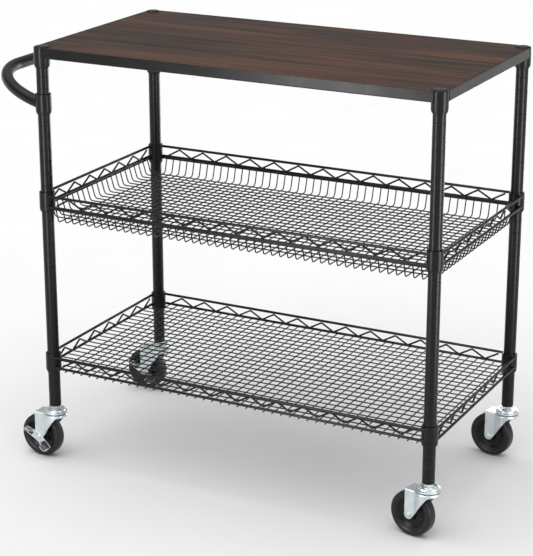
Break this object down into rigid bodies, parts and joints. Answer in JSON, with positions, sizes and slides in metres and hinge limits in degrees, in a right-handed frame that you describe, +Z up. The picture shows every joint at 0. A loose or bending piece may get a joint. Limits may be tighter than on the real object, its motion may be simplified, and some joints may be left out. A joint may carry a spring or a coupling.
{
  "type": "rolling utility cart",
  "caption": "Rolling utility cart with a wood laminate top, a wire basket, a wire shelf with a raised rim, a push handle at one end and swivel casters, two of them braked.",
  "frame": {"origin": "floor level, under the middle of the overall box", "axes": "+Z up, +X along the long side away from the handle, +Y towards the rear long side"},
  "size_m": [1.0573, 0.5022, 0.9035],
  "materials": {
    "black_steel": "satin black powder coat",
    "walnut_laminate": "satin dark walnut laminate, grain along X",
    "zinc_steel": "bright zinc plate, slightly blue",
    "tyre_rubber": "matte black hard rubber",
    "black_plastic": "satin black plastic"
  },
  "bodies": {
    "frame": {"post_front_left": "black_steel", "post_front_right": "black_steel", "post_rear_left": "black_steel", "post_rear_right": "black_steel", "post_caps": "black_plastic", "post_inserts": "black_plastic", "top_collars": "black_steel", "top_side_rails": "black_steel", "top_end_rails": "black_steel", "top_board": "walnut_laminate", "board_screws": "zinc_steel", "top_sleeves": "black_plastic", "handle_tube": "black_steel", "handle_collars": "black_steel", "handle_sleeves": "black_plastic", "basket_collars": "black_steel", "basket_rim_wires": "black_steel", "basket_snake_wires": "black_steel", "basket_cross_wires": "black_steel", "basket_long_wires": "black_steel", "basket_sleeves": "black_plastic", "shelf_collars": "black_steel", "shelf_rim_wires": "black_steel", "shelf_snake_wires": "black_steel", "shelf_cross_wires": "black_steel", "shelf_long_wires": "black_steel", "shelf_sleeves": "black_plastic", "caster_stems": "zinc_steel", "caster_race_caps": "zinc_steel"},
    "swivel_front_left": {"fork_front_left": "zinc_steel", "balls_front_left": "zinc_steel", "axle_front_left": "zinc_steel"},
    "wheel_front_left": {"tyre_front_left": "tyre_rubber", "core_front_left": "black_plastic", "bush_front_left": "zinc_steel"},
    "swivel_front_right": {"fork_front_right": "zinc_steel", "balls_front_right": "zinc_steel", "axle_front_right": "zinc_steel"},
    "wheel_front_right": {"tyre_front_right": "tyre_rubber", "core_front_right": "black_plastic", "bush_front_right": "zinc_steel"},
    "swivel_rear_left": {"fork_rear_left": "zinc_steel", "balls_rear_left": "zinc_steel", "axle_rear_left": "zinc_steel"},
    "wheel_rear_left": {"tyre_rear_left": "tyre_rubber", "core_rear_left": "black_plastic", "bush_rear_left": "zinc_steel"},
    "swivel_rear_right": {"fork_rear_right": "zinc_steel", "balls_rear_right": "zinc_steel", "axle_rear_right": "zinc_steel"},
    "wheel_rear_right": {"tyre_rear_right": "tyre_rubber", "core_rear_right": "black_plastic", "bush_rear_right": "zinc_steel"},
    "brake_lever_front_left": {"brake_front_left": "zinc_steel"},
    "brake_lever_rear_left": {"brake_rear_left": "zinc_steel"}
  },
  "joints": [
    {"name": "swivel_front_left", "type": "hinge", "parent": "frame", "child": "swivel_front_left", "pos_m": [-0.36235, -0.21915, 0.103], "axis": [0, 0, 1], "continuous": true},
    {"name": "roll_front_left", "type": "hinge", "parent": "swivel_front_left", "child": "wheel_front_left", "pos_m": [-0.39634, -0.21856, 0.0475], "axis": [0.0175, 0.9998, 0], "continuous": true},
    {"name": "brake_front_left", "type": "hinge", "parent": "swivel_front_left", "child": "brake_lever_front_left", "pos_m": [-0.39634, -0.21856, 0.0475], "axis": [-0.0175, -0.9998, 0], "range_deg": [0, 18]},
    {"name": "swivel_front_right", "type": "hinge", "parent": "frame", "child": "swivel_front_right", "pos_m": [0.50365, -0.21915, 0.103], "axis": [0, 0, 1], "continuous": true},
    {"name": "roll_front_right", "type": "hinge", "parent": "swivel_front_right", "child": "wheel_front_right", "pos_m": [0.47039, -0.21208, 0.0475], "axis": [0.2079, 0.9781, 0], "continuous": true},
    {"name": "swivel_rear_left", "type": "hinge", "parent": "frame", "child": "swivel_rear_left", "pos_m": [-0.36235, 0.22285, 0.103], "axis": [0, 0, 1], "continuous": true},
    {"name": "roll_rear_left", "type": "hinge", "parent": "swivel_rear_left", "child": "wheel_rear_left", "pos_m": [-0.39635, 0.22285, 0.0475], "axis": [0, 1, 0], "continuous": true},
    {"name": "brake_rear_left", "type": "hinge", "parent": "swivel_rear_left", "child": "brake_lever_rear_left", "pos_m": [-0.39635, 0.22285, 0.0475], "axis": [0, -1, 0], "range_deg": [0, 18]},
    {"name": "swivel_rear_right", "type": "hinge", "parent": "frame", "child": "swivel_rear_right", "pos_m": [0.50365, 0.22285, 0.103], "axis": [0, 0, 1], "continuous": true},
    {"name": "roll_rear_right", "type": "hinge", "parent": "swivel_rear_right", "child": "wheel_rear_right", "pos_m": [0.46998, 0.22758, 0.0475], "axis": [0.1392, 0.9903, 0], "continuous": true}
  ]
}
